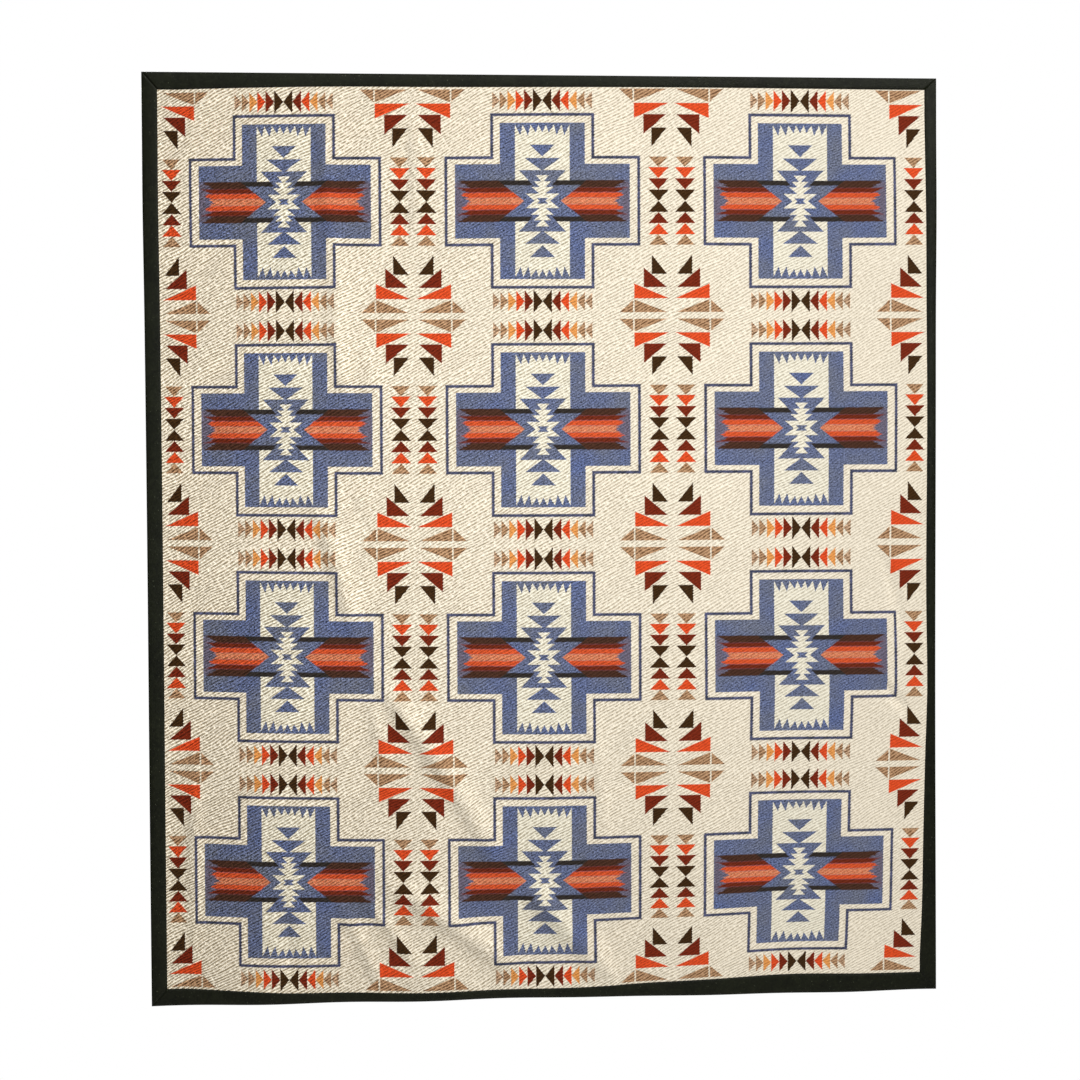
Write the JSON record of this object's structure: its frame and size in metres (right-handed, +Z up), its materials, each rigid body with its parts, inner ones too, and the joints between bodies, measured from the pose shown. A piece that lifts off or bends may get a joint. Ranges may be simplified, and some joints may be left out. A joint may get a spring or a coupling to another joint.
{
  "type": "quilt on a wall rack",
  "caption": "Rectangular woven throw quilt with bound edges, hung from a hidden wall rail by a cloth sleeve sewn to its back.",
  "frame": {"origin": "middle of the wall board's back face, on the wall", "axes": "+Z up, +Y into the wall, so the quilt's face looks along -Y; +X to the right of someone facing it"},
  "size_m": [1.524, 0.0868, 1.778],
  "materials": {
    "woven_face": "cream, slate blue, rust and black figured twill, matt",
    "batting": "white carded fibre, matt",
    "backing_cloth": "plain cream cotton, matt",
    "binding_cloth": "near-black plain cloth, a soft low sheen",
    "sleeve_cloth": "plain unbleached cotton, matt",
    "rail_wood": "clear satin lacquer over beech",
    "board_wood": "stained and oiled, satin",
    "bracket_steel": "black powder coat, fine texture",
    "felt": "grey pressed felt",
    "screw_steel": "zinc plated, satin",
    "knob_brass": "turned and lightly lacquered"
  },
  "bodies": {
    "rack": {"wall_board": "board_wood", "bracket_left": "bracket_steel", "bracket_right": "bracket_steel", "cradle_liner_left": "felt", "cradle_liner_right": "felt", "bracket_screws_left": "screw_steel", "bracket_screws_right": "screw_steel"},
    "rail": {"rail": "rail_wood", "rail_end_cap_left": "rail_wood", "rail_end_cap_right": "rail_wood"},
    "quilt": {"quilt_top": "woven_face", "quilt_batting": "batting", "quilt_backing": "backing_cloth", "binding_top": "binding_cloth", "binding_bottom": "binding_cloth", "binding_left": "binding_cloth", "binding_right": "binding_cloth", "rod_sleeve": "sleeve_cloth"},
    "set_screw_left": {"set_screw_left": "knob_brass"},
    "set_screw_right": {"set_screw_right": "knob_brass"}
  },
  "joints": [
    {"name": "rail_lift", "type": "slide", "parent": "rack", "child": "rail", "axis": [0, 0, 1], "range_m": [0, 0.06]},
    {"name": "quilt_swing", "type": "hinge", "parent": "rail", "child": "quilt", "pos_m": [0, -0.06, 0], "axis": [-1, 0, 0], "range_deg": [0, 30]},
    {"name": "set_screw_left_out", "type": "slide", "parent": "rack", "child": "set_screw_left", "axis": [0, 0, -1], "range_m": [0, 0.005]},
    {"name": "set_screw_right_out", "type": "slide", "parent": "rack", "child": "set_screw_right", "axis": [0, 0, -1], "range_m": [0, 0.005]}
  ]
}
